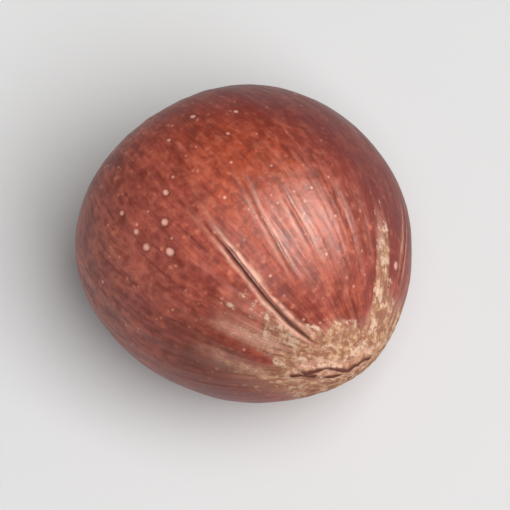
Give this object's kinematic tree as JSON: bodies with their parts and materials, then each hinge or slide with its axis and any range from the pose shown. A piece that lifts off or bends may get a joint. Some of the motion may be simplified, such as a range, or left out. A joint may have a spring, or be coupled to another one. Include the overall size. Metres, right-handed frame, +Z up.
{
  "type": "hazelnut",
  "caption": "Whole hazelnut in its closed shell: rounded body, small felted point at the tip and a broad rough scar at the blunt base, lying on its side.",
  "frame": {"origin": "middle of the small flat spot that the nut lies on", "axes": "+Z up, away from what the nut lies on; +X towards the pointed tip, which is lifted about 17 degrees off the level; -X towards the blunt end with the base scar"},
  "size_m": [0.0216, 0.0215, 0.0199],
  "materials": {
    "shell": "satin"
  },
  "bodies": {
    "root": {"hazelnut": "shell"}
  },
  "joints": []
}
